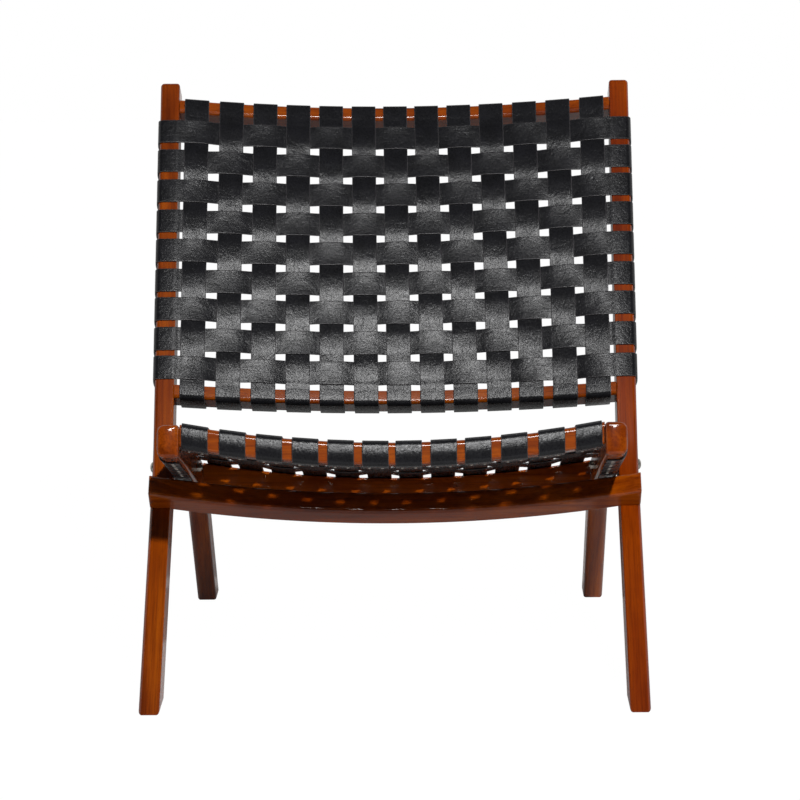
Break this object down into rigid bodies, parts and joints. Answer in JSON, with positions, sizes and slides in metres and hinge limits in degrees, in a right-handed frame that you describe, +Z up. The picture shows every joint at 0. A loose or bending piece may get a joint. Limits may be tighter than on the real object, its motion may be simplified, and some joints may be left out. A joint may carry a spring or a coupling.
{
  "type": "folding lounge chair",
  "caption": "Folding lounge chair: two crossed bent wooden side frames on pivot bolts, with a reclined back and a seat woven from flat leather straps.",
  "frame": {"origin": "on the floor, at the middle of the chair's footprint, with the chair open", "axes": "+X to the right for someone facing the chair, +Y to the rear, +Z up"},
  "size_m": [0.6454, 0.66, 0.739],
  "materials": {
    "lacquered_wood": "reddish brown stain under gloss lacquer, fine lengthwise grain",
    "leather_strap": "near-black smooth leather, satin, finely creased",
    "pivot_steel": "satin"
  },
  "bodies": {
    "back_frame": {"back_side_left": "lacquered_wood", "back_side_right": "lacquered_wood", "back_top_rail": "lacquered_wood", "back_bottom_rail": "lacquered_wood", "front_stretcher": "lacquered_wood", "back_long_strap_01": "leather_strap", "back_long_strap_02": "leather_strap", "back_long_strap_03": "leather_strap", "back_long_strap_04": "leather_strap", "back_long_strap_05": "leather_strap", "back_long_strap_06": "leather_strap", "back_long_strap_07": "leather_strap", "back_long_strap_08": "leather_strap", "back_long_strap_09": "leather_strap", "back_long_strap_10": "leather_strap", "back_long_strap_11": "leather_strap", "back_long_strap_12": "leather_strap", "back_long_strap_13": "leather_strap", "back_cross_strap_01": "leather_strap", "back_cross_strap_02": "leather_strap", "back_cross_strap_03": "leather_strap", "back_cross_strap_04": "leather_strap", "back_cross_strap_05": "leather_strap", "back_cross_strap_06": "leather_strap", "back_cross_strap_07": "leather_strap", "back_cross_strap_08": "leather_strap", "back_cross_strap_09": "leather_strap", "pivot_bolt_left": "pivot_steel", "pivot_bolt_right": "pivot_steel", "pivot_spacer_left": "pivot_steel", "pivot_spacer_right": "pivot_steel", "pivot_nut_left": "pivot_steel", "pivot_nut_right": "pivot_steel"},
    "seat_frame": {"seat_side_left": "lacquered_wood", "seat_side_right": "lacquered_wood", "seat_front_rail": "lacquered_wood", "seat_rear_rail": "lacquered_wood", "seat_long_strap_01": "leather_strap", "seat_long_strap_02": "leather_strap", "seat_long_strap_03": "leather_strap", "seat_long_strap_04": "leather_strap", "seat_long_strap_05": "leather_strap", "seat_long_strap_06": "leather_strap", "seat_long_strap_07": "leather_strap", "seat_long_strap_08": "leather_strap", "seat_long_strap_09": "leather_strap", "seat_long_strap_10": "leather_strap", "seat_long_strap_11": "leather_strap", "seat_long_strap_12": "leather_strap", "seat_cross_strap_01": "leather_strap", "seat_cross_strap_02": "leather_strap", "seat_cross_strap_03": "leather_strap", "seat_cross_strap_04": "leather_strap", "seat_cross_strap_05": "leather_strap", "seat_cross_strap_06": "leather_strap", "seat_cross_strap_07": "leather_strap", "seat_cross_strap_08": "leather_strap"}
  },
  "joints": [
    {"name": "fold", "type": "hinge", "parent": "back_frame", "child": "seat_frame", "pos_m": [0, -0.02804, 0.253], "axis": [-1, 0, 0], "range_deg": [0, 68]}
  ]
}
